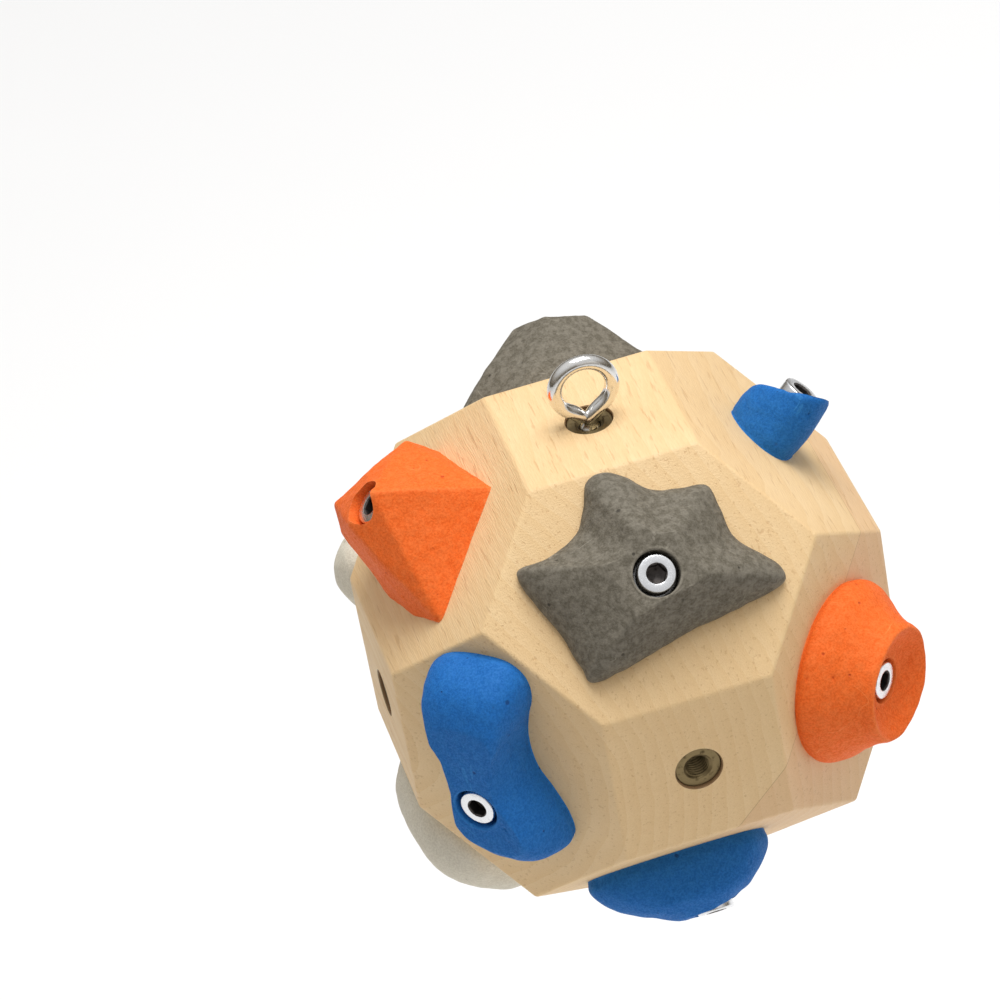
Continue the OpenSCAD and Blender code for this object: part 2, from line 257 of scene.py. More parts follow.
def buildPlateScuff():
    # plated metal: a faint orange peel, fine handling scratches and small tarnish spots
    tree, given, result = startGroup(
        "plateScuff",
        [("Vector", vector, None), ("Scratch Per Metre", number, 2200.0), ("Spot Per Metre", number, 500.0)],
        ["Scratch", "Spot", "Height"],
    )
    drawn = addNode(tree, "ShaderNodeMapping",
                    {"Vector": given["Vector"], "Rotation": (0.5, 0.3, 0.9), "Scale": (1.0, 0.06, 1.0)})
    scratch = addNode(tree, "ShaderNodeTexNoise",
                      {"Vector": drawn.outputs["Vector"], "Scale": given["Scratch Per Metre"], "Detail": 2.0})
    spot = addNode(tree, "ShaderNodeTexNoise", {
        "Vector": given["Vector"], "Scale": given["Spot Per Metre"], "Detail": 4.0, "Roughness": 0.65,
    })
    tree.links.new(addRange(tree, scratch.outputs["Fac"], 0.55, 0.7), result["Scratch"])
    tree.links.new(addRange(tree, spot.outputs["Fac"], 0.52, 0.72), result["Spot"])
    tree.links.new(addMath(tree, "ADD", scratch.outputs["Fac"], spot.outputs["Fac"]), result["Height"])
    return tree


castGrit = buildCastGrit()
edgeWearAndShade = buildEdgeWearAndShade()
chalkDust = buildChalkDust()
woodGrain = buildWoodGrain()
plateScuff = buildPlateScuff()
print("shader groups ready")


# Materials

def startMaterial(name):
    material = bpy.data.materials.new(name)
    material.use_nodes = True
    tree = material.node_tree
    place = tree.nodes.new("ShaderNodeTexCoord").outputs["Object"]
    return material, tree, tree.nodes["Principled BSDF"], place


def addBump(tree, surface, height, depth, strength=1.0):
    bump = addNode(tree, "ShaderNodeBump", {"Height": height, "Distance": depth, "Strength": strength})
    tree.links.new(bump.outputs["Normal"], surface.inputs["Normal"])


castColours = {
    "grey_cast": {
        "body": (0.15, 0.132, 0.098, 1), "deep": (0.045, 0.039, 0.03, 1),
        "pale": (0.38, 0.345, 0.285, 1), "speck": 0.26,
    },
    "orange_cast": {
        "body": (0.95, 0.165, 0.018, 1), "deep": (0.55, 0.05, 0.004, 1),
        "pale": (1.0, 0.33, 0.1, 1), "speck": 0.12,
    },
    "red_cast": {
        "body": (0.85, 0.075, 0.02, 1), "deep": (0.42, 0.025, 0.006, 1),
        "pale": (0.95, 0.17, 0.07, 1), "speck": 0.1,
    },
    "blue_cast": {
        "body": (0.008, 0.15, 0.5, 1), "deep": (0.003, 0.05, 0.2, 1),
        "pale": (0.05, 0.29, 0.68, 1), "speck": 0.1,
    },
    "cream_cast": {
        "body": (0.72, 0.67, 0.55, 1), "deep": (0.44, 0.39, 0.3, 1),
        "pale": (0.86, 0.82, 0.73, 1), "speck": 0.1,
    },
}
castFinish = {
    "grainDepth": 0.00022, "roughLow": 0.62, "roughHigh": 0.9, "dust": 0.34, "bubblePerMetre": 210.0,
    "bubbleSize": 0.4, "scrape": 0.6, "grainLow": 0.62, "ridgeShare": 0.3, "hollowShadeShare": 0.5,
    "dustShare": 0.14, "bubbleShadeShare": 0.85,
}


def buildCast(slotName, colours):
    material, tree, surface, place = startMaterial(slotName.replace("_cast", "Cast"))
    grit = addGroup(tree, castGrit, {"Vector": place, "Bubble Per Metre": castFinish["bubblePerMetre"],
                                     "Bubble Size": castFinish["bubbleSize"]})
    point = tree.nodes.new("ShaderNodeNewGeometry").outputs["Pointiness"]
    wearAndShade = addGroup(tree, edgeWearAndShade, {"Vector": place, "Pointiness": point, "Reach": 0.06})
    chalk = addGroup(tree, chalkDust, {"Vector": place, "Cover": castFinish["dust"]})
    finish = castFinish
    grain = addRange(tree, grit["Grain"], 0.0, 1.0, finish["grainLow"], 1.0)
    colour = addMix(tree, grain, colours["deep"], colours["body"])
    layers = [
        (grit["Speck"], colours["speck"], "pale"), (wearAndShade["Ridge"], finish["ridgeShare"], "pale"),
        # painted shade: the hollow mask darkens creases towards the deep colour
        (wearAndShade["Hollow"], finish["hollowShadeShare"], "deep"), (chalk["Dust"], finish["dustShare"], "pale"),
        # painted shade: bubble pits are darkened towards the deep colour
        (chalk["Scrape"], finish["scrape"], "pale"), (grit["Bubble"], finish["bubbleShadeShare"], "deep"),
    ]
    for mask, share, tone in layers:
        colour = addMix(tree, addMath(tree, "MULTIPLY", mask, share), colour, colours[tone])
    tree.links.new(colour, surface.inputs["Base Color"])
    rough = addRange(tree, grit["Grain"], 0.0, 1.0, castFinish["roughHigh"], castFinish["roughLow"])
    tree.links.new(rough, surface.inputs["Roughness"])
    surface.inputs["Specular IOR Level"].default_value = 0.3
    addBump(tree, surface, grit["Height"], castFinish["grainDepth"])
    return material


beechLook = {
    "pale": (0.85, 0.62, 0.345, 1), "tan": (0.74, 0.485, 0.225, 1), "pink": (0.76, 0.48, 0.27, 1),
    "fleck": (0.5, 0.27, 0.11, 1), "glue": (0.36, 0.19, 0.08, 1), "recessShade": (0.13, 0.055, 0.016, 1),
    "seamAway": 0.0279, "seamHalf": 0.00022, "ringsPerMetre": 190.0, "ringShare": 0.34, "mottleShare": 0.3,
    "outerShare": 0.5, "poreShare": 0.1, "fleckShare": 0.34, "seamShare": 0.6, "wornShare": 0.3,
    "recessShadeShare": 0.82,
}


def buildBeech(recessShaded):
    # two boards glued on a plane square to (1, 0, -1), with the grain along Y
    material, tree, surface, place = startMaterial("recessShadeBeech" if recessShaded else "oiledBeech")
    centred = addNode(tree, "ShaderNodeMapping", {"Vector": place, "Location": -ballCentre})
    square = (math.sqrt(0.5), 0, -math.sqrt(0.5))
    across = addNode(tree, "ShaderNodeVectorMath", {0: centred.outputs["Vector"], 1: square},
                     operation="DOT_PRODUCT")
    away = across.outputs["Value"]
    outer = addMath(tree, "GREATER_THAN", away, beechLook["seamAway"])
    heart = addNode(tree, "ShaderNodeCombineXYZ", {"X": addRange(tree, outer, 0.0, 1.0, 0.11, 0.24)})
    shifted = addNode(tree, "ShaderNodeVectorMath",
                      {0: centred.outputs["Vector"], 1: heart.outputs["Vector"]}, operation="ADD")
    grain = addGroup(tree, woodGrain,
                     {"Vector": shifted.outputs["Vector"], "Rings Per Metre": beechLook["ringsPerMetre"]})
    look = beechLook
    nearSeam = addMath(tree, "ABSOLUTE", addMath(tree, "SUBTRACT", away, look["seamAway"]))
    seam = addRange(tree, nearSeam, look["seamHalf"], 0.0)
    point = tree.nodes.new("ShaderNodeNewGeometry").outputs["Pointiness"]
    wearAndShade = addGroup(tree, edgeWearAndShade, {"Vector": place, "Pointiness": point, "Reach": 0.25, "Break Up": 0.3})
    layers = [
        (grain["Ring"], look["ringShare"], "tan"), (grain["Mottle"], look["mottleShare"], "tan"),
        (outer, look["outerShare"], "pink"), (grain["Pore"], look["poreShare"], "fleck"),
        (grain["Fleck"], look["fleckShare"], "fleck"), (seam, look["seamShare"], "glue"),
        (wearAndShade["Ridge"], look["wornShare"], "pale"),
    ]
    colour = look["pale"]
    for mask, share, tone in layers:
        colour = addMix(tree, addMath(tree, "MULTIPLY", mask, share), colour, look[tone])
    # painted shade: the walls of the drilled recesses are darkened almost to black
    if recessShaded:
        colour = addMix(tree, look["recessShadeShare"], colour, look["recessShade"])
    tree.links.new(colour, surface.inputs["Base Color"])
    tree.links.new(addRange(tree, grain["Ring"], 0.0, 1.0, 0.5, 0.62), surface.inputs["Roughness"])
    surface.inputs["Specular IOR Level"].default_value = 0.35
    marks = addMath(tree, "ADD", grain["Fleck"], grain["Pore"])
    relief = addMath(tree, "SUBTRACT", addMath(tree, "MULTIPLY", grain["Ring"], 0.4), marks)
    addBump(tree, surface, addMath(tree, "SUBTRACT", relief, seam), 0.00005)
    return material


plateLooks = {
    "zinc": {
        "name": "brightZinc", "bright": (0.82, 0.83, 0.85, 1),
        "dull": (0.5, 0.51, 0.53, 1), "rough": 0.24, "spots": 0.35,
    },
    # painted shade: the key socket's walls get a near-black metal
    "socket": {
        "name": "shadedSocket", "bright": (0.1, 0.09, 0.085, 1),
        "dull": (0.03, 0.025, 0.02, 1), "rough": 0.5, "spots": 0.8,
    },
    "insert_brass": {
        "name": "dullBrass", "bright": (0.22, 0.165, 0.082, 1),
        "dull": (0.065, 0.045, 0.021, 1), "rough": 0.42, "spots": 0.8,
    },
    "eye_nickel": {
        "name": "brightNickel", "bright": (0.83, 0.82, 0.8, 1),
        "dull": (0.55, 0.5, 0.42, 1), "rough": 0.13, "spots": 0.2,
    },
}


def buildPlate(look):
    material, tree, surface, place = startMaterial(look["name"])
    scuff = addGroup(tree, plateScuff, {"Vector": place})
    point = tree.nodes.new("ShaderNodeNewGeometry").outputs["Pointiness"]
    wearAndShade = addGroup(tree, edgeWearAndShade, {"Vector": place, "Pointiness": point, "Reach": 0.2, "Break Up": 0.4})
    tarnish = addMath(tree, "MULTIPLY", scuff["Spot"], look["spots"])
    colour = addMix(tree, tarnish, look["bright"], look["dull"])
    # painted shade: hollows are mixed towards the dull colour
    colour = addMix(tree, addMath(tree, "MULTIPLY", wearAndShade["Hollow"], 0.6), colour, look["dull"])
    tree.links.new(colour, surface.inputs["Base Color"])
    surface.inputs["Metallic"].default_value = 1.0
    rough = addRange(tree, scuff["Scratch"], 0.0, 1.0, look["rough"], look["rough"] + 0.16)
    rough = addMath(tree, "ADD", rough, addMath(tree, "MULTIPLY", scuff["Spot"], 0.12))
    tree.links.new(rough, surface.inputs["Roughness"])
    addBump(tree, surface, scuff["Height"], 0.00002, 0.6)
    return material


casts = {slotName: buildCast(slotName, colours) for slotName, colours in castColours.items()}
plates = {slotName: buildPlate(look) for slotName, look in plateLooks.items()}
oiledBeech, recessShadeBeech = buildBeech(False), buildBeech(True)
print("materials ready")


# Mesh helpers

def ringEdges(bm, ring):
    return [bm.edges.get((a, b)) for a, b in zip(ring, ring[1:] + ring[:1])]


def startRing(bm, places):
    ring = bmesh.ops.create_circle(bm, segments=len(places), radius=mm)["verts"]
    for vert, place in zip(ring, places):
        vert.co = place
    return ring


def nextRing(bm, ring, places):
    # extrude the ring's edges and move the new corners, kept in the same order
    made = bmesh.ops.extrude_edge_only(bm, edges=ringEdges(bm, ring))["geom"]
    fresh = {item for item in made if isinstance(item, bmesh.types.BMVert)}
    above = []
    for vert, place in zip(ring, places):
        corner = next(edge.other_vert(vert) for edge in vert.link_edges if edge.other_vert(vert) in fresh)
        corner.co = place
        above.append(corner)
    return above


def circlePlaces(count, radius, height):
    turns = [2 * math.pi * i / count for i in range(count)]
    return [Vector((radius * mm * math.cos(a), radius * mm * math.sin(a), height * mm)) for a in turns]


def curveThrough(points, steps, closed):
    # even Bezier steps on a smooth curve through the points
    count = len(points)
    spots = [Vector(p) for p in points]
    curve = []
    for i in range(count if closed else count - 1):
        before = spots[i - 1] if closed or i else spots[0]
        start, end = spots[i], spots[(i + 1) % count]
        after = spots[(i + 2) % count] if closed or i + 2 < count else end
        pull, push = start + (end - before) / 6, end - (after - start) / 6
        curve += geometry.interpolate_bezier(start, pull, push, end, steps + 1)[:-1]
    return curve if closed else curve + [spots[-1]]


def evenly(curve, count, closed):
    # the same curve as count evenly spaced points
    path = curve + curve[:1] if closed else curve
    marks = [0.0]
    for a, b in zip(path, path[1:]):
        marks.append(marks[-1] + (b - a).length)
    picked, k = [], 0
    for i in range(count):
        want = marks[-1] * i / (count if closed else count - 1)
        while k < len(marks) - 2 and marks[k + 1] < want:
            k += 1
        picked.append(path[k].lerp(path[k + 1], (want - marks[k]) / max(marks[k + 1] - marks[k], 1e-9)))
    return picked


def makePiece(name, bm, material, slotName, body, *nodes):
    bmesh.ops.recalc_face_normals(bm, faces=bm.faces)
    mesh = bpy.data.meshes.new(name)
    bm.to_mesh(mesh)
    bm.free()
    piece = bpy.data.objects.new(name, mesh)
    bpy.context.scene.collection.objects.link(piece)
    mesh.materials.append(material)
    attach(piece, body)
    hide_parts(*nodes)
    return piece


def smoothBelow(mesh, degrees):
    # smooth shading, with edges sharper than this kept crisp
    mesh.shade_smooth()
    mesh.set_sharp_from_angle(angle=math.radians(degrees))


def lathe(bm, profile, segments=48):
    # profile of (radius, height) points in millimetres, spun about the upright axis
    corners = [bm.verts.new((r * mm, 0, z * mm)) for r, z in profile]
    sides = [bm.edges.new(pair) for pair in zip(corners, corners[1:])]
    bmesh.ops.spin(bm, geom=corners + sides, cent=(0, 0, 0), axis=(0, 0, 1), angle=2 * math.pi,
                   steps=segments, use_merge=True)
    bmesh.ops.remove_doubles(bm, verts=bm.verts, dist=0.002 * mm)


def onFace(bm, face, reach):
    bmesh.ops.transform(bm, matrix=faceMatrix(face, reach), verts=bm.verts)


def keepWithin(verts, node):
    # the few corners of the relief that stand past the solid's own box are pressed back to it
    low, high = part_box(node)
    inside = 0.01 * mm
    for vert in verts:
        vert.co = [min(max(v, a + inside), b - inside) for v, a, b in zip(vert.co, low, high)]


# The wooden ball

ballFinish = {"easedEdge": 1.1, "easedSteps": 4, "holeChamfer": 0.35, "holeSegments": 64}


def cutterFor(face, reach):
    hw = hardware
    top = -hw["flangeSunk"] - hw["flangeThick"]
    chamfer = ballFinish["holeChamfer"]
    bm = bmesh.new()
    lathe(bm, [
        (0, -hw["pilotDepth"]), (hw["pilotR"], -hw["pilotDepth"]),
        (hw["pilotR"], -hw["insertLength"] - hw["flangeSunk"]),
        (hw["insertSeatR"], -hw["insertLength"] - hw["flangeSunk"]), (hw["insertSeatR"], top),
        (hw["flangeSeatR"], top), (hw["flangeSeatR"], -chamfer), (hw["flangeSeatR"] + chamfer, 0),
        (hw["flangeSeatR"] + 2 * chamfer, chamfer), (0, chamfer),
    ], ballFinish["holeSegments"])
    onFace(bm, face, reach)
    return bm


def buildBall():
    bm = bmesh.new()
    bmesh.ops.create_cube(bm, size=2 * squareReach)
    for face in hexagonFaces.values():
        normal = faceNormal(face)
        cut = bmesh.ops.bisect_plane(bm, geom=bm.verts[:] + bm.edges[:] + bm.faces[:],
                                     plane_co=normal * hexagonReach, plane_no=normal, clear_outer=True)
        rim = [item for item in cut["geom_cut"] if isinstance(item, bmesh.types.BMEdge)]
        bmesh.ops.contextual_create(bm, geom=rim)
    bmesh.ops.bevel(bm, geom=bm.edges[:], offset=ballFinish["easedEdge"] * mm, affect="EDGES",
                    segments=ballFinish["easedSteps"], profile=0.5, material=-1)
    bmesh.ops.translate(bm, vec=ballCentre, verts=bm.verts)
    ball = makePiece("beech_ball", bm, oiledBeech, "beech", "ball", "wood_ball")
    ball.data.materials.append(recessShadeBeech)
    cutters = bmesh.new()
    places = [(face, squareReach) for face in squareFaces.values()]
    places += [(face, hexagonReach) for face in hexagonFaces.values()]
    for face, reach in places:
        part = cutterFor(face, reach)
        bmesh.ops.recalc_face_normals(part, faces=part.faces)
        mesh = bpy.data.meshes.new("cutter")
        part.to_mesh(mesh)
        part.free()
        cutters.from_mesh(mesh)
        bpy.data.meshes.remove(mesh)
    drill = bpy.data.meshes.new("drill")
    cutters.to_mesh(drill)
    cutters.free()
    bit = bpy.data.objects.new("drill", drill)
    bpy.context.scene.collection.objects.link(bit)
    applyBoolean(ball, bit)
    # faces sunk below the ball's faces near a hole's axis take the painted-shade wood
    for polygon in ball.data.polygons:
        deep = all((polygon.center - ballCentre).dot(faceNormal(face)) < reach - 0.05 * mm
                   for face, reach in places)
        nearAxis = (hardware["flangeSeatR"] + 0.2) * mm
        onAxis = any(fromAxis(polygon.center, face) < nearAxis for face, reach in places)
        polygon.material_index = 1 if deep and onAxis else 0
    smoothBelow(ball.data, 25)
    return ball


def fromAxis(place, face):
    out = place - ballCentre
    normal = faceNormal(face)
    along = out.dot(normal)
    return (out - normal * along).length if along > 0 else 1.0


def applyBoolean(piece, cutter):
    modifier = piece.modifiers.new("drilled", "BOOLEAN")
    modifier.object = cutter
    modifier.solver = "EXACT"
    bpy.context.view_layer.update()
    graph = bpy.context.evaluated_depsgraph_get()
    drilled = bpy.data.meshes.new_from_object(piece.evaluated_get(graph))
    piece.modifiers.clear()
    old = piece.data
    drilled.name = old.name
    piece.data = drilled
    bpy.data.meshes.remove(old)
    bpy.data.objects.remove(cutter)


buildBall()
print("wooden ball ready")


# Threaded inserts

def threadWall(bm, crestR, rootR, low, high):
    # one pitch of thread spun up a helix, then trimmed square at both ends
    pitch = hardware["pitch"]
    steps = 36
    turns = math.ceil((high - low) / pitch) + 2
    start = low - pitch
    shape = [(rootR, 0), (rootR, 0.12), (crestR, 0.44), (crestR, 0.68), (rootR, 1)]
    corners = [bm.verts.new((r * mm, 0, (start + share * pitch) * mm)) for r, share in shape]
    sides = [bm.edges.new(pair) for pair in zip(corners, corners[1:])]
    bmesh.ops.spin(bm, geom=corners + sides, cent=(0, 0, 0), axis=(0, 0, 1), use_merge=False,
                   dvec=(0, 0, pitch / steps * mm), angle=2 * math.pi * turns, steps=steps * turns)
    bmesh.ops.remove_doubles(bm, verts=bm.verts, dist=0.002 * mm)
    ends = []
    for height, outward in ((low, -1), (high, 1)):
        cut = bmesh.ops.bisect_plane(bm, geom=bm.verts[:] + bm.edges[:] + bm.faces[:],
                                     plane_co=(0, 0, height * mm), plane_no=(0, 0, outward), clear_outer=True)
        ends.append([item for item in cut["geom_cut"] if isinstance(item, bmesh.types.BMEdge)])
    return ends


def buildInsert(face, reach):
    hw = hardware
    top = -hw["flangeSunk"]
    bottom = top - hw["insertLength"]
    bm = bmesh.new()
    threadWall(bm, hw["boreR"], hw["boreR"] + hw["threadDepth"], bottom + 0.6, top - 0.7)
    wide = hw["boreR"] + hw["threadDepth"] + 0.15
    body = [(wide, bottom), (hw["insertR"] - 0.4, bottom), (hw["insertR"], bottom + 0.6)]
    grooveCount = 6
    for i in range(grooveCount):
        z = bottom + 1.4 + i * 2
        body += [(hw["insertR"], z), (hw["insertR"] - 0.7, z + 0.5)]
        body += [(hw["insertR"] - 0.7, z + 1), (hw["insertR"], z + 1.5)]
    flangeR, under = hw["flangeR"], top - hw["flangeThick"]
    body += [(hw["insertR"], under), (flangeR - 0.15, under), (flangeR, under + 0.15), (flangeR, top - 0.3),
             (flangeR - 0.3, top), (wide + 0.35, top), (wide, top - 0.3)]
    lathe(bm, body, 48)
    edges = [edge for edge in bm.edges if edge.is_boundary]
    lowLoop = [edge for edge in edges if edge.verts[0].co.z < (bottom + 1) * mm]
    highLoop = [edge for edge in edges if edge.verts[0].co.z > (top - 1) * mm]
    bmesh.ops.bridge_loops(bm, edges=lowLoop)
    bmesh.ops.bridge_loops(bm, edges=highLoop)
    onFace(bm, face, reach)
    return bm


def buildInserts():
    for label, face in squareFaces.items():
        bm = buildInsert(face, squareReach)
        piece = makePiece(label + "_bush", bm, plates["insert_brass"], "insert_brass", "ball",
                          label + "_insert")
        smoothBelow(piece.data, 35)
    for label, face in hexagonFaces.items():
        bm = buildInsert(face, hexagonReach)
        nodes = ["hexagon_inserts"] if label == "star" else []
        piece = makePiece(label + "_bush", bm, plates["insert_brass"], "insert_brass", "ball", *nodes)
        smoothBelow(piece.data, 35)


buildInserts()
print("inserts ready")


# Bolts and washers

boltFinish = {"headEdge": 0.7, "tipChamfer": 1.0, "neck": 1.6, "socketDrill": 1.1, "segments": 48}


def hexagonPlaces(count, flats, height):
    # points of a round ring pushed in onto the flats of the key socket
    places = []
    for spot in circlePlaces(count, flats / 2, height):
        angle = math.atan2(spot.y, spot.x) % (math.pi / 3) - math.pi / 6
        places.append(Vector((spot.x / math.cos(angle), spot.y / math.cos(angle), spot.z)))
    return places


def buildBolt(label, face, seat):
    hw = hardware
    count = boltFinish["segments"]
    head, edge = hw["headR"], boltFinish["headEdge"]
    shank = seat + hw["washerThick"] + hw["engaged"]
    bm = bmesh.new()
    low, high = threadWall(bm, hw["threadR"], hw["threadR"] - hw["threadDepth"], -shank, -boltFinish["neck"])
    for vert in bm.verts:
        limit = (hw["threadR"] - boltFinish["tipChamfer"] + (vert.co.z / mm + shank)) * mm
        radius = math.hypot(vert.co.x, vert.co.y)
        if radius > limit:
            vert.co.x *= limit / radius
            vert.co.y *= limit / radius
    bmesh.ops.contextual_create(bm, geom=low)
    ring = startRing(bm, circlePlaces(count, hw["threadR"], -boltFinish["neck"]))
    bmesh.ops.bridge_loops(bm, edges=high + ringEdges(bm, ring))
    outside = [(hw["threadR"], -0.35), (hw["threadR"] + 0.35, 0), (head - 0.3, 0), (head, 0.3)]
    outside += [(head - side * edge, hw["headHigh"] - drop * edge)
                for side, drop in ((0, 1), (0.12, 0.5), (0.45, 0.12), (1, 0))]
    for radius, height in outside:
        ring = nextRing(bm, ring, circlePlaces(count, radius, height))
    flats, top = hw["socketFlats"], hw["headHigh"]
    for radius, height in ((flats / 2 + 0.9, top), (flats / 2 + 0.62, top - 0.04)):
        ring = nextRing(bm, ring, circlePlaces(count, radius, height))
    for across, height in ((flats + 0.5, top - 0.18), (flats, top - 0.5), (flats, top - hw["socketDeep"])):
        ring = nextRing(bm, ring, hexagonPlaces(count, across, height))
    drill = boltFinish["socketDrill"]
    ring = nextRing(bm, ring, circlePlaces(count, 0.3 * flats, top - hw["socketDeep"] - 0.5 * drill))
    ring = nextRing(bm, ring, circlePlaces(count, 0.1, top - hw["socketDeep"] - drill))
    bmesh.ops.contextual_create(bm, geom=ringEdges(bm, ring))
    # faces inside the key socket take the painted-shade metal
    for side in bm.faces:
        middle = side.calc_center_median() / mm
        inSocket = math.hypot(middle.x, middle.y) < flats * 0.6 and 0 < middle.z < top - 0.1
        side.material_index = 1 if inSocket else 0
    bmesh.ops.translate(bm, vec=(0, 0, (seat + hw["washerThick"]) * mm), verts=bm.verts)
    onFace(bm, face, hexagonReach)
    piece = makePiece(label + "_capscrew", bm, plates["zinc"], "zinc", label + "_bolt", label + "_bolt")
    piece.data.materials.append(plates["socket"])
    smoothBelow(piece.data, 35)


def buildWasher(label, face, seat):
    hw = hardware
    bm = bmesh.new()
    outer, inner, thick = hw["washerR"], hw["holdBoreR"], hw["washerThick"]
    lathe(bm, [(inner, 0.2), (inner + 0.12, 0), (outer - 0.1, 0), (outer, 0.12), (outer, thick - 0.45),
               (outer - 0.15, thick - 0.15), (outer - 0.5, thick), (inner + 0.2, thick), (inner, thick - 0.2),
               (inner, 0.2)])
    bmesh.ops.translate(bm, vec=(0, 0, seat * mm), verts=bm.verts)
    onFace(bm, face, hexagonReach)
    piece = makePiece(label + "_flatwasher", bm, plates["zinc"], "zinc", label + "_washer", label + "_washer")
    smoothBelow(piece.data, 35)


# Cast holds

castShape = {"around": 300, "up": 34, "crown": 12, "swell": 0.2, "wall": 5, "rimRound": 0.8}

holds = {
    "star": {
        "slot": "grey_cast", "seat": 11, "centre": (0, 0),
        "outline": [
            (-42, 16), (-30, 18), (-19, 23), (-14, 31), (-11, 38), (-4, 40), (3, 36), (9, 30), (18, 28),
            (28, 26), (30, 17), (32, 6), (43, -7), (39, -14), (6, -20), (-26, -27), (-31, -20), (-34, -9),
            (-39, 3),
        ],
        "levels": [
            (0, 0.97, 0.97), (2, 1, 1), (7, 0.92, 0.92), (13, 0.72, 0.72), (18, 0.5, 0.54),
            (21, 0.36, 0.44),
        ],
    },
    "long": {
        "slot": "blue_cast", "seat": 12.5, "centre": (0, 2),
        "outline": [
            (-20.5, 37), (-20, 44), (-12, 48.5), (0, 50), (9, 49), (14.5, 44), (15.5, 36), (12.5, 26),
            (11, 16), (12.5, 5), (17.5, -4), (22, -14), (22.5, -23), (15, -28), (2, -27), (-9, -23),
            (-14.5, -16), (-14.5, -5), (-13.5, 8), (-15.5, 24),
        ],
        "levels": [
            (0, 0.97, 0.98), (4, 1, 1), (11, 0.95, 0.96), (17, 0.86, 0.88), (21, 0.76, 0.76),
            (23, 0.68, 0.66),
        ],
    },
    "knob": {
        "slot": "blue_cast", "seat": 13, "centre": (2, -1), "lean": (-0.027, -0.008), "narrow": True,
        "outline": [
            (-11, -3), (-10, 3), (-6, 7.5), (1, 11), (11, 11), (16, 5), (17, -5), (11, -13), (2, -14.5),
            (-7, -9),
        ],
        "levels": [
            (0, 0.96, 0.96), (4, 1, 1), (11, 1, 1), (16, 0.98, 0.96), (19, 0.94, 0.92), (20.8, 0.86, 0.84),
        ],
    },
    "ridge": {
        "slot": "blue_cast", "seat": 13, "centre": (-4, 0), "narrow": True,
        "outline": [
            (-40, 0), (-34, 9), (-20, 15), (0, 18), (16, 15), (24, 5), (23, -8), (12, -17), (-8, -18),
            (-26, -13), (-37, -7),
        ],
        "levels": [
            (0, 0.98, 0.97), (4, 1, 1), (9.5, 0.9, 0.95), (16, 0.66, 0.84), (19, 0.47, 0.7),
            (22.5, 0.26, 0.45),
        ],
    },
    "slab": {
        "slot": "cream_cast", "seat": 10, "centre": (0, 0), "turned": 40,
        "outline": [
            (44, 0), (38, 11), (20, 18), (-4, 20), (-26, 17), (-40, 8), (-44, -4), (-34, -14), (-10, -20),
            (16, -18), (36, -11),
        ],
        "levels": [(0, 0.98, 0.97), (4, 1, 1), (11, 0.93, 0.93), (17, 0.78, 0.76), (20.5, 0.55, 0.54)],
    },
    "pebble": {
        "slot": "cream_cast", "seat": 13, "centre": (0, 0),
        "outline": [
            (38, 8), (34, 23), (17, 32), (-8, 32), (-28, 22), (-37, 4), (-32, -13), (-14, -24), (8, -26),
            (28, -17),
        ],
        "levels": [
            (0, 0.95, 0.95), (5, 1, 1), (12, 0.97, 0.96), (18, 0.86, 0.84), (23, 0.66, 0.62),
            (25.5, 0.44, 0.42),
        ],
    },
    "boomerang": {
        "slot": "blue_cast", "seat": 11, "centre": (2, -3), "turned": -45,
        "outline": [
            (-38, 6), (-34, 17), (-21, 18), (-8, 15), (4, 17), (14, 25), (24, 37), (35, 34), (34, 18),
            (27, -2), (14, -18), (-1, -23), (-15, -19), (-28, -8),
        ],
        "levels": [
            (0, 0.97, 0.96), (3, 1, 1), (9, 0.95, 0.94), (15, 0.86, 0.86), (19, 0.76, 0.78), (21, 0.68, 0.7),
        ],
    },
    "shell": {
        "slot": "grey_cast", "seat": 11.5, "centre": (0, 0), "ribbed": (36, 13, 2.5, 30),
        "levels": [
            (0, 0.98, 0.98), (2, 1, 1), (8, 0.86, 0.86), (14, 0.66, 0.66), (19, 0.44, 0.44),
            (21.5, 0.32, 0.32),
        ],
    },
    "crust": {
        "slot": "red_cast", "seat": 11, "centre": (0, 0), "ribbed": (36, 16, 1.5, 31),
        "levels": [
            (0, 0.97, 0.97), (5, 1, 1), (10, 0.9, 0.9), (16, 0.74, 0.74), (20, 0.5, 0.5), (21.5, 0.36, 0.36),
        ],
    },
}
roughness = {
    "lump": 0.5, "lumpSize": 13, "dimple": 0.22, "dimpleSize": 4.2,
    "pit": 0.55, "pitSize": 5.5, "pitShare": 0.16,
}


def ribbedOutline(radius, ribs, depth, flat):
    places = []
    for i in range(12 * ribs):
        angle = 2 * math.pi * i / (12 * ribs)
        reach = radius + depth * math.cos(ribs * angle)
        places.append((reach * math.cos(angle), max(-flat, reach * math.sin(angle))))
    return places


def roughen(bm, skin, seed):
    # poured-resin relief: broad lumps, small dimples and burst bubbles, all pressed a little inwards
    bm.normal_update()
    drift = Vector((seed * 7.3, seed * 3.1, seed * 5.7))
    moves = []
    for vert in skin:
        place = vert.co / mm
        lump = noise.noise(place / roughness["lumpSize"] + drift) - 0.35
        dimple = noise.noise(place / roughness["dimpleSize"] + drift) - 0.3
        distances, cells = noise.voronoi(place / roughness["pitSize"] + drift)
        burst = noise.cell(cells[0] * 9.1) > 0.55
        pit = max(0.0, 1 - (distances[0] / roughness["pitShare"]) ** 2) if burst else 0.0
        depth = lump * roughness["lump"] + dimple * roughness["dimple"] - pit * roughness["pit"]
        moves.append(vert.normal * depth * mm)
    for vert, move in zip(skin, moves):
        vert.co += move


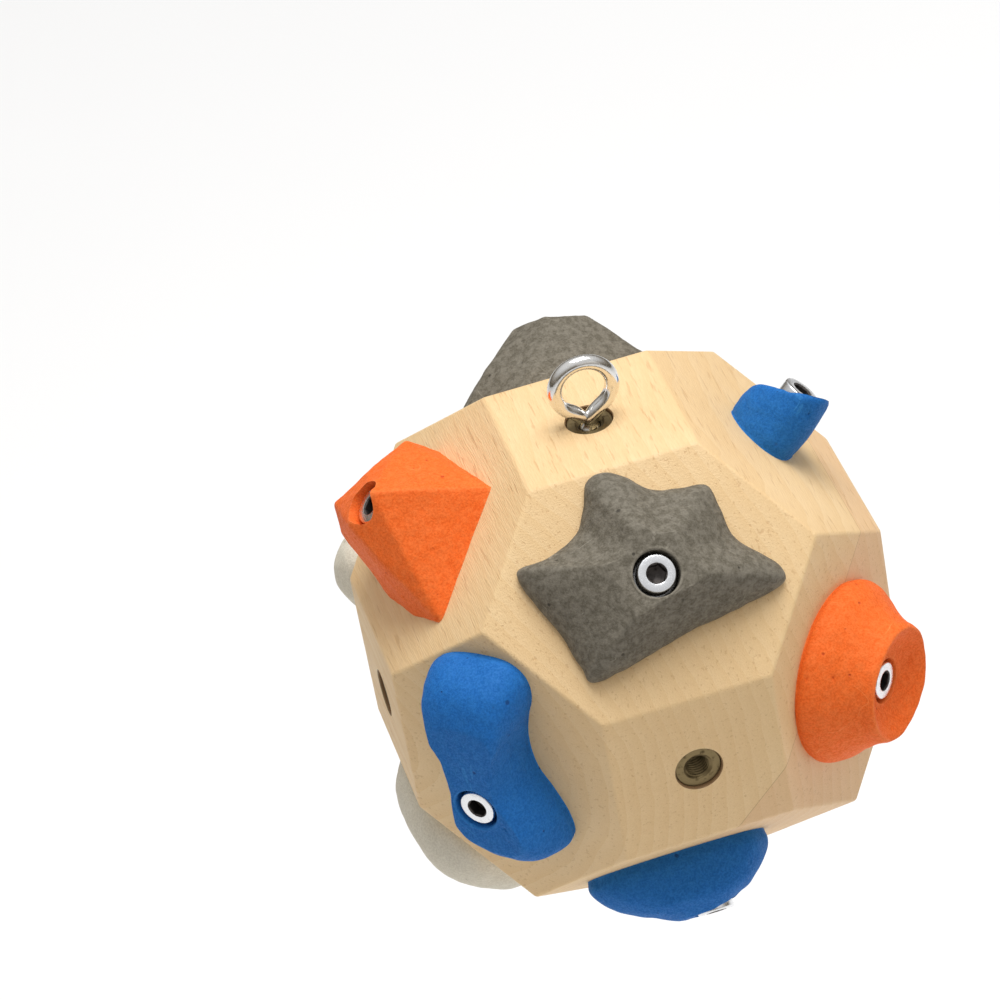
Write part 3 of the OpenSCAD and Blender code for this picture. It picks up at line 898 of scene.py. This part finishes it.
def boreThrough(piece, seat):
    # a finished blank is drilled for its bolt, washer and head, still in its own face frame
    hw = hardware
    bm = bmesh.new()
    lathe(bm, [(0, -2), (hw["holdBoreR"], -2), (hw["holdBoreR"], seat), (hw["counterboreR"], seat),
               (hw["counterboreR"], 45), (0, 45)], 64)
    bmesh.ops.recalc_face_normals(bm, faces=bm.faces)
    mesh = bpy.data.meshes.new("bit")
    bm.to_mesh(mesh)
    bm.free()
    bit = bpy.data.objects.new("bit", mesh)
    bpy.context.scene.collection.objects.link(bit)
    applyBoolean(piece, bit)


def closeCrown(bm, ring, edge, top):
    # rings run in over the crown to a small cap in its middle
    steps, skin = castShape["crown"], []
    for i in range(1, steps):
        share = i / steps
        swell = Vector((0, 0, castShape["swell"] * math.sin(0.5 * math.pi * share) * mm))
        ring = nextRing(bm, ring, [a.lerp(top, share) + swell for a in edge])
        skin += ring
    bmesh.ops.contextual_create(bm, geom=ringEdges(bm, ring))
    return skin


def boreCrown(bm, ring, edge, rim, seat):
    # the crown runs in to the round counterbore, down its wall and through the bolt hole
    hw = hardware
    steps, skin = castShape["crown"], []
    wide, soft = hw["counterboreR"], castShape["rimRound"]
    ways = [Vector((p.x, p.y, 0)).normalized() for p in edge]
    for i in range(1, steps + 1):
        share = i / steps
        swell = Vector((0, 0, castShape["swell"] * math.sin(math.pi * share) * mm))
        ring = nextRing(bm, ring, [a.lerp(b, share) + swell for a, b in zip(edge, rim)])
        skin += ring if i < steps else []
    for drop, inward in ((0.1, 0.4), (0.35, 0.72), (soft, soft)):
        radius = (wide + soft - inward) * mm
        places = [way * radius + Vector((0, 0, b.z - drop * mm)) for way, b in zip(ways, rim)]
        ring = nextRing(bm, ring, places)
    for i in range(1, castShape["wall"] + 1):
        share = i / castShape["wall"]
        heights = [(b.z / mm - soft) * (1 - share) + seat * share for b in rim]
        ring = nextRing(bm, ring, [(way * wide + Vector((0, 0, z))) * mm for way, z in zip(ways, heights)])
    for radius, height in ((hw["holdBoreR"] + 0.2, seat), (hw["holdBoreR"], seat - 0.2),
                           (hw["holdBoreR"], 0.3), (hw["holdBoreR"] + 0.25, 0.03)):
        ring = nextRing(bm, ring, [(way * radius + Vector((0, 0, height))) * mm for way in ways])
    return ring, skin


def buildRingHold(label, spec, seed):
    bm = bmesh.new()
    if "ribbed" in spec:
        outline = [Vector(p) for p in ribbedOutline(*spec["ribbed"])]
    else:
        outline = curveThrough([(x, y, 0) for x, y in spec["outline"]], 12, True)
    outline = evenly([p.to_3d() for p in outline], castShape["around"], True)
    centre = Vector((*spec["centre"], 0))
    levels = evenly(curveThrough([(z, 40 * sx, 40 * sy) for z, sx, sy in spec["levels"]], 10, False),
                    castShape["up"], False)
    leanX, leanY = spec.get("lean", (0, 0))

    def raised(x, y, z):
        return Vector((x, y, z * (1 + leanX * x + leanY * y))) * mm

    def levelPlaces(level):
        z, sx, sy = level[0], level[1] / 40, level[2] / 40
        scaled = [(centre.x + (p.x - centre.x) * sx, centre.y + (p.y - centre.y) * sy) for p in outline]
        return [raised(x, y, z) for x, y in scaled]

    first = startRing(bm, levelPlaces(levels[0]))
    ring, skin = first, []
    for level in levels[1:]:
        ring = nextRing(bm, ring, levelPlaces(level))
        skin += ring
    edge, high = levelPlaces(levels[-1]), levels[-1][0]
    for vert in first:
        vert.co.z = 0.03 * mm
    if "narrow" in spec:
        skin += closeCrown(bm, ring, edge, raised(centre.x, centre.y, high))
        bmesh.ops.contextual_create(bm, geom=ringEdges(bm, first))
    else:
        rimR = hardware["counterboreR"] + castShape["rimRound"]
        ways = [Vector((p.x, p.y, 0)).normalized() for p in edge]
        rim = [raised(way.x * rimR, way.y * rimR, high) for way in ways]
        ring, crown = boreCrown(bm, ring, edge, rim, spec["seat"])
        skin += crown
        bmesh.ops.bridge_loops(bm, edges=ringEdges(bm, first) + ringEdges(bm, ring))
    bmesh.ops.recalc_face_normals(bm, faces=bm.faces)
    roughen(bm, skin, seed)
    if "turned" in spec:
        turn = Matrix.Rotation(math.radians(spec["turned"]), 3, "Z")
        bmesh.ops.rotate(bm, cent=(0, 0, 0), matrix=turn, verts=bm.verts)
    hold = label + "_hold"
    piece = makePiece(label + "_casting", bm, casts[spec["slot"]], spec["slot"], hold, hold)
    if "narrow" in spec:
        boreThrough(piece, spec["seat"])
    piece.data.transform(faceMatrix(hexagonFaces[label], hexagonReach))
    keepWithin(piece.data.vertices, hold)
    smoothBelow(piece.data, 50)


facetedHolds = {
    "wedge": {
        "slot": "orange_cast", "seat": 19,
        "corners": [
            (33, -13, 0), (9, 27, 0), (-8, 21.5, 0), (-31, 14, 0), (-35, -4, 0), (-15, -29, 0), (0, -27, 0),
            (19, -21, 0), (-31, 13, 12.5), (-6, 21, 8), (7.5, 15.5, 20.5), (4.8, 6.2, 33.5), (-18, 2, 25),
            (-23.5, -15, 25), (-17, -20, 20), (2, -8.5, 31.5),
        ],
    },
    "crag": {
        "slot": "grey_cast", "seat": 13,
        "corners": [
            (-36, -12, 0), (-34, 14, 0), (-12, 26, 0), (14, 26, 0), (34, 12, 0), (36, -10, 0), (16, -26, 0),
            (-14, -26, 0), (-24, -6, 19), (-17, 10, 22), (-3, 13, 25), (7, 5, 25), (18, 10, 16),
            (19, -8, 16), (3, -14, 23), (-12, -14, 22),
        ],
    },
}
facetShape = {"cornerR": 1.5, "voxel": 0.75, "relax": 2}


def buildFacetedHold(label, spec, seed):
    bm = bmesh.new()
    for corner in spec["corners"]:
        ball = bmesh.ops.create_icosphere(bm, subdivisions=2, radius=facetShape["cornerR"] * mm)["verts"]
        bmesh.ops.translate(bm, vec=Vector(corner) * mm, verts=ball)
    hull = bmesh.ops.convex_hull(bm, input=bm.verts)
    inner = hull["geom_interior"] + hull["geom_unused"]
    spare = {item for item in inner if isinstance(item, bmesh.types.BMVert)}
    bmesh.ops.delete(bm, geom=list(spare), context="VERTS")
    bmesh.ops.dissolve_limit(bm, angle_limit=math.radians(1), verts=bm.verts, edges=bm.edges)
    mesh = bpy.data.meshes.new("blank")
    bm.to_mesh(mesh)
    bm.free()
    blank = bpy.data.objects.new("blank", mesh)
    bpy.context.scene.collection.objects.link(blank)
    remesh = blank.modifiers.new("even", "REMESH")
    remesh.mode = "VOXEL"
    remesh.voxel_size = facetShape["voxel"] * mm
    bpy.context.view_layer.update()
    bm = bmesh.new()
    bm.from_object(blank, bpy.context.evaluated_depsgraph_get())
    bpy.data.objects.remove(blank)
    for _ in range(facetShape["relax"]):
        bmesh.ops.smooth_vert(bm, verts=bm.verts, factor=0.5,
                              use_axis_x=True, use_axis_y=True, use_axis_z=True)
    roughen(bm, bm.verts[:], seed)
    cut = bmesh.ops.bisect_plane(bm, geom=bm.verts[:] + bm.edges[:] + bm.faces[:], plane_co=(0, 0, 0.03 * mm),
                                 plane_no=(0, 0, -1), clear_outer=True)
    foot = [item for item in cut["geom_cut"] if isinstance(item, bmesh.types.BMEdge)]
    bmesh.ops.contextual_create(bm, geom=foot)
    hold = label + "_hold"
    piece = makePiece(label + "_casting", bm, casts[spec["slot"]], spec["slot"], hold, hold)
    boreThrough(piece, spec["seat"])
    piece.data.transform(faceMatrix(hexagonFaces[label], hexagonReach))
    keepWithin(piece.data.vertices, hold)
    smoothBelow(piece.data, 50)


dish = {
    "slot": "orange_cast", "seat": 8.5, "footR": 32, "rimR": 19.5, "rimHigh": 24, "around": 260, "up": 90,
}


def buildDish(seed):
    hw = hardware
    floor = dish["seat"] + hw["washerThick"] + hw["headHigh"] + 0.5
    footR, rimR, rimHigh = dish["footR"], dish["rimR"], dish["rimHigh"]
    profile = [
        (footR - 1, 0.03), (footR, 3), (footR - 2, 8), (footR - 6.5, 13.5), (rimR + 2.4, 19),
        (rimR + 1.2, rimHigh - 1.5), (rimR, rimHigh), (rimR - 2, rimHigh - 1), (rimR - 6, floor + 1.6),
        (hw["counterboreR"] + 2, floor), (hw["counterboreR"] + 0.7, floor - 0.1),
    ]
    curve = evenly(curveThrough([(r, z, 0) for r, z in profile], 10, False), dish["up"], False)
    bm = bmesh.new()
    first = startRing(bm, circlePlaces(dish["around"], curve[0].x, curve[0].y))
    ring, skin = first, []
    for spot in curve[1:]:
        ring = nextRing(bm, ring, circlePlaces(dish["around"], spot.x, spot.y))
        skin += ring
    wide, narrow, seat = hw["counterboreR"], hw["holdBoreR"], dish["seat"]
    wall = [(wide + 0.2, floor - 0.3), (wide, floor - 0.7), (wide, seat + 4), (wide, seat),
            (narrow + 0.2, seat), (narrow, seat - 0.2), (narrow, 0.3), (narrow + 0.25, 0.03)]
    for radius, height in wall:
        ring = nextRing(bm, ring, circlePlaces(dish["around"], radius, height))
    bmesh.ops.bridge_loops(bm, edges=ringEdges(bm, first) + ringEdges(bm, ring))
    roughen(bm, skin, seed)
    onFace(bm, hexagonFaces["dish"], hexagonReach)
    keepWithin(bm.verts, "dish_hold")
    piece = makePiece("dish_casting", bm, casts[dish["slot"]], dish["slot"], "dish_hold", "dish_hold")
    smoothBelow(piece.data, 50)


seats = {label: spec["seat"] for label, spec in {**holds, **facetedHolds, "dish": dish}.items()}
for label, face in hexagonFaces.items():
    buildBolt(label, face, seats[label])
    buildWasher(label, face, seats[label])
print("bolts and washers ready")

for seed, (label, spec) in enumerate(holds.items()):
    buildRingHold(label, spec, seed + 1)
for seed, (label, spec) in enumerate(facetedHolds.items()):
    buildFacetedHold(label, spec, seed + 20)
buildDish(30)
print("holds ready")


# Screw eye

screwEye = {"wireR": 2.6, "ringR": 10, "shankLength": 15, "joinAngle": 55, "steps": 72, "around": 28}


def sweptWire(bm, path, radius, around):
    # a round wire along a path in the XZ plane
    ring = None
    for i, spot in enumerate(path):
        ahead = path[min(i + 1, len(path) - 1)] - path[max(i - 1, 0)]
        side = Vector((ahead.z, 0, -ahead.x)).normalized()
        places = []
        for k in range(around):
            angle = 2 * math.pi * k / around
            out, over = side * radius * math.cos(angle), Vector((0, 1, 0)) * radius * math.sin(angle)
            places.append((spot + out + over) * mm)
        if ring is None:
            ring = startRing(bm, places)
            first = ring
        else:
            ring = nextRing(bm, ring, places)
    return first, ring


def buildEye():
    eye = screwEye
    woodTop = squareReach / mm + ballCentre.z / mm
    join = math.radians(eye["joinAngle"])
    ringR = eye["ringR"]
    right = Vector((ringR * math.cos(join), 0, -ringR * math.sin(join)))
    rise = Vector((math.sin(join), 0, math.cos(join)))
    start = Vector((0.5, 0, woodTop - 1.2))
    path = geometry.interpolate_bezier(start, start + Vector((0, 0, 3.0)), right - rise * 3.6, right, 16)
    for i in range(1, eye["steps"]):
        angle = -join + (math.pi + 2 * join) * i / eye["steps"]
        path.append(Vector((ringR * math.cos(angle), 0, ringR * math.sin(angle))))
    left = Vector((-right.x, 0, right.z))
    tip = Vector((-2.55, 0, woodTop + 1.4))
    lead = left + Vector((rise.x, 0, -rise.z)) * 2.2
    path += geometry.interpolate_bezier(left, lead, tip + Vector((-0.6, 0, 1.4)), tip, 8)
    bm = bmesh.new()
    first, last = sweptWire(bm, path, eye["wireR"], eye["around"])
    # the cut end is capped flat
    bmesh.ops.contextual_create(bm, geom=ringEdges(bm, last))
    bottom = woodTop - eye["shankLength"]
    rootR = hardware["threadR"] - hardware["threadDepth"]
    low, high = threadWallInto(bm, hardware["threadR"], rootR, bottom, woodTop - 2.7)
    bmesh.ops.contextual_create(bm, geom=low)
    bmesh.ops.bridge_loops(bm, edges=high + ringEdges(bm, first))
    keepWithin(bm.verts, "screw_eye")
    piece = makePiece("bent_screw_eye", bm, plates["eye_nickel"], "eye_nickel", "ball", "screw_eye")
    smoothBelow(piece.data, 40)


def threadWallInto(bm, crestR, rootR, low, high):
    # a thread made apart and brought in, so that trimming it leaves the wire alone
    part = bmesh.new()
    threadWall(part, crestR, rootR, low, high)
    mesh = bpy.data.meshes.new("thread")
    part.to_mesh(mesh)
    part.free()
    known = set(bm.verts)
    bm.from_mesh(mesh)
    bpy.data.meshes.remove(mesh)
    ends = [edge for edge in bm.edges if edge.is_boundary and edge.verts[0] not in known]
    middle = (low + high) / 2 * mm
    return [e for e in ends if e.verts[0].co.z < middle], [e for e in ends if e.verts[0].co.z > middle]


buildEye()
print("screw eye ready")


# Studio

studio = {
    "floorDrop": 0.42, "floorSize": 6.0, "horizon": 0.1, "zenith": 0.74, "keyPower": 46.0, "keySize": 1.5,
    "keyPlace": (0.42, 0.2, 2.15), "fillPower": 2.0, "fillPlace": (0.9, -2.0, 0.5),
    "lowLight": (1.0, 0.86, 0.66, 1), "highLight": (1.0, 1.0, 1.0, 1),
}
view = {
    "aim": (-0.0297, 0.0343, -0.0609), "distance": 1.7909, "azimuth": -8.83, "elevation": 36.27,
    "roll": -11.03, "lens": 185.8,
}


def buildFloor():
    material, tree, surface, place = startMaterial("paleFloor")
    cloud = addNode(tree, "ShaderNodeTexNoise", {"Vector": place, "Scale": 3.0, "Detail": 3.0})
    colour = addMix(tree, cloud.outputs["Fac"], (0.93, 0.93, 0.93, 1), (0.96, 0.96, 0.96, 1))
    tree.links.new(colour, surface.inputs["Base Color"])
    surface.inputs["Roughness"].default_value = 0.9
    bm = bmesh.new()
    bmesh.ops.create_grid(bm, x_segments=8, y_segments=8, size=studio["floorSize"])
    bmesh.ops.translate(bm, vec=(0, 0, cadLow.z - studio["floorDrop"]), verts=bm.verts)
    mesh = bpy.data.meshes.new("floor")
    bm.to_mesh(mesh)
    bm.free()
    floor = bpy.data.objects.new("floor", mesh)
    floor.data.materials.append(material)
    bpy.context.scene.collection.objects.link(floor)


def addArea(name, place, power, size):
    data = bpy.data.lights.new(name, "AREA")
    data.energy = power
    data.size = size
    lamp = bpy.data.objects.new(name, data)
    lamp.location = place
    lamp.rotation_mode = "QUATERNION"
    lamp.rotation_quaternion = (ballCentre - Vector(place)).to_track_quat("-Z", "Y")
    bpy.context.scene.collection.objects.link(lamp)


def buildStudio():
    buildFloor()
    addArea("keyLight", studio["keyPlace"], studio["keyPower"], studio["keySize"])
    addArea("fillLight", studio["fillPlace"], studio["fillPower"], studio["keySize"])
    # a room that is bright overhead and dim round the horizon
    world = bpy.data.worlds.new("studioWorld")
    world.use_nodes = True
    tree = world.node_tree
    around = tree.nodes.new("ShaderNodeTexCoord").outputs["Generated"]
    way = addNode(tree, "ShaderNodeSeparateXYZ", {"Vector": around})
    glow = addRange(tree, way.outputs["Z"], -0.1, 0.9, studio["horizon"], studio["zenith"])
    tree.links.new(glow, tree.nodes["Background"].inputs["Strength"])
    tint = addMix(tree, addRange(tree, way.outputs["Z"], 0.0, 0.6), studio["lowLight"], studio["highLight"])
    tree.links.new(tint, tree.nodes["Background"].inputs["Color"])
    bpy.context.scene.world = world
    bpy.context.scene.view_settings.view_transform = "Standard"


def buildCamera():
    data = bpy.data.cameras.new("photoCamera")
    data.lens = view["lens"]
    data.sensor_width = 36
    data.clip_start, data.clip_end = 0.05, 50
    camera = bpy.data.objects.new("photoCamera", data)
    a, e = math.radians(view["azimuth"]), math.radians(view["elevation"])
    back = Vector((math.sin(a) * math.cos(e), -math.cos(a) * math.cos(e), math.sin(e)))
    camera.location = Vector(view["aim"]) + back * view["distance"]
    camera.rotation_mode = "QUATERNION"
    upright = (-back).to_track_quat("-Z", "Y")
    camera.rotation_quaternion = upright @ Quaternion((0, 0, 1), math.radians(view["roll"]))
    bpy.context.scene.collection.objects.link(camera)
    bpy.context.scene.camera = camera


buildStudio()
buildCamera()
print("studio ready")
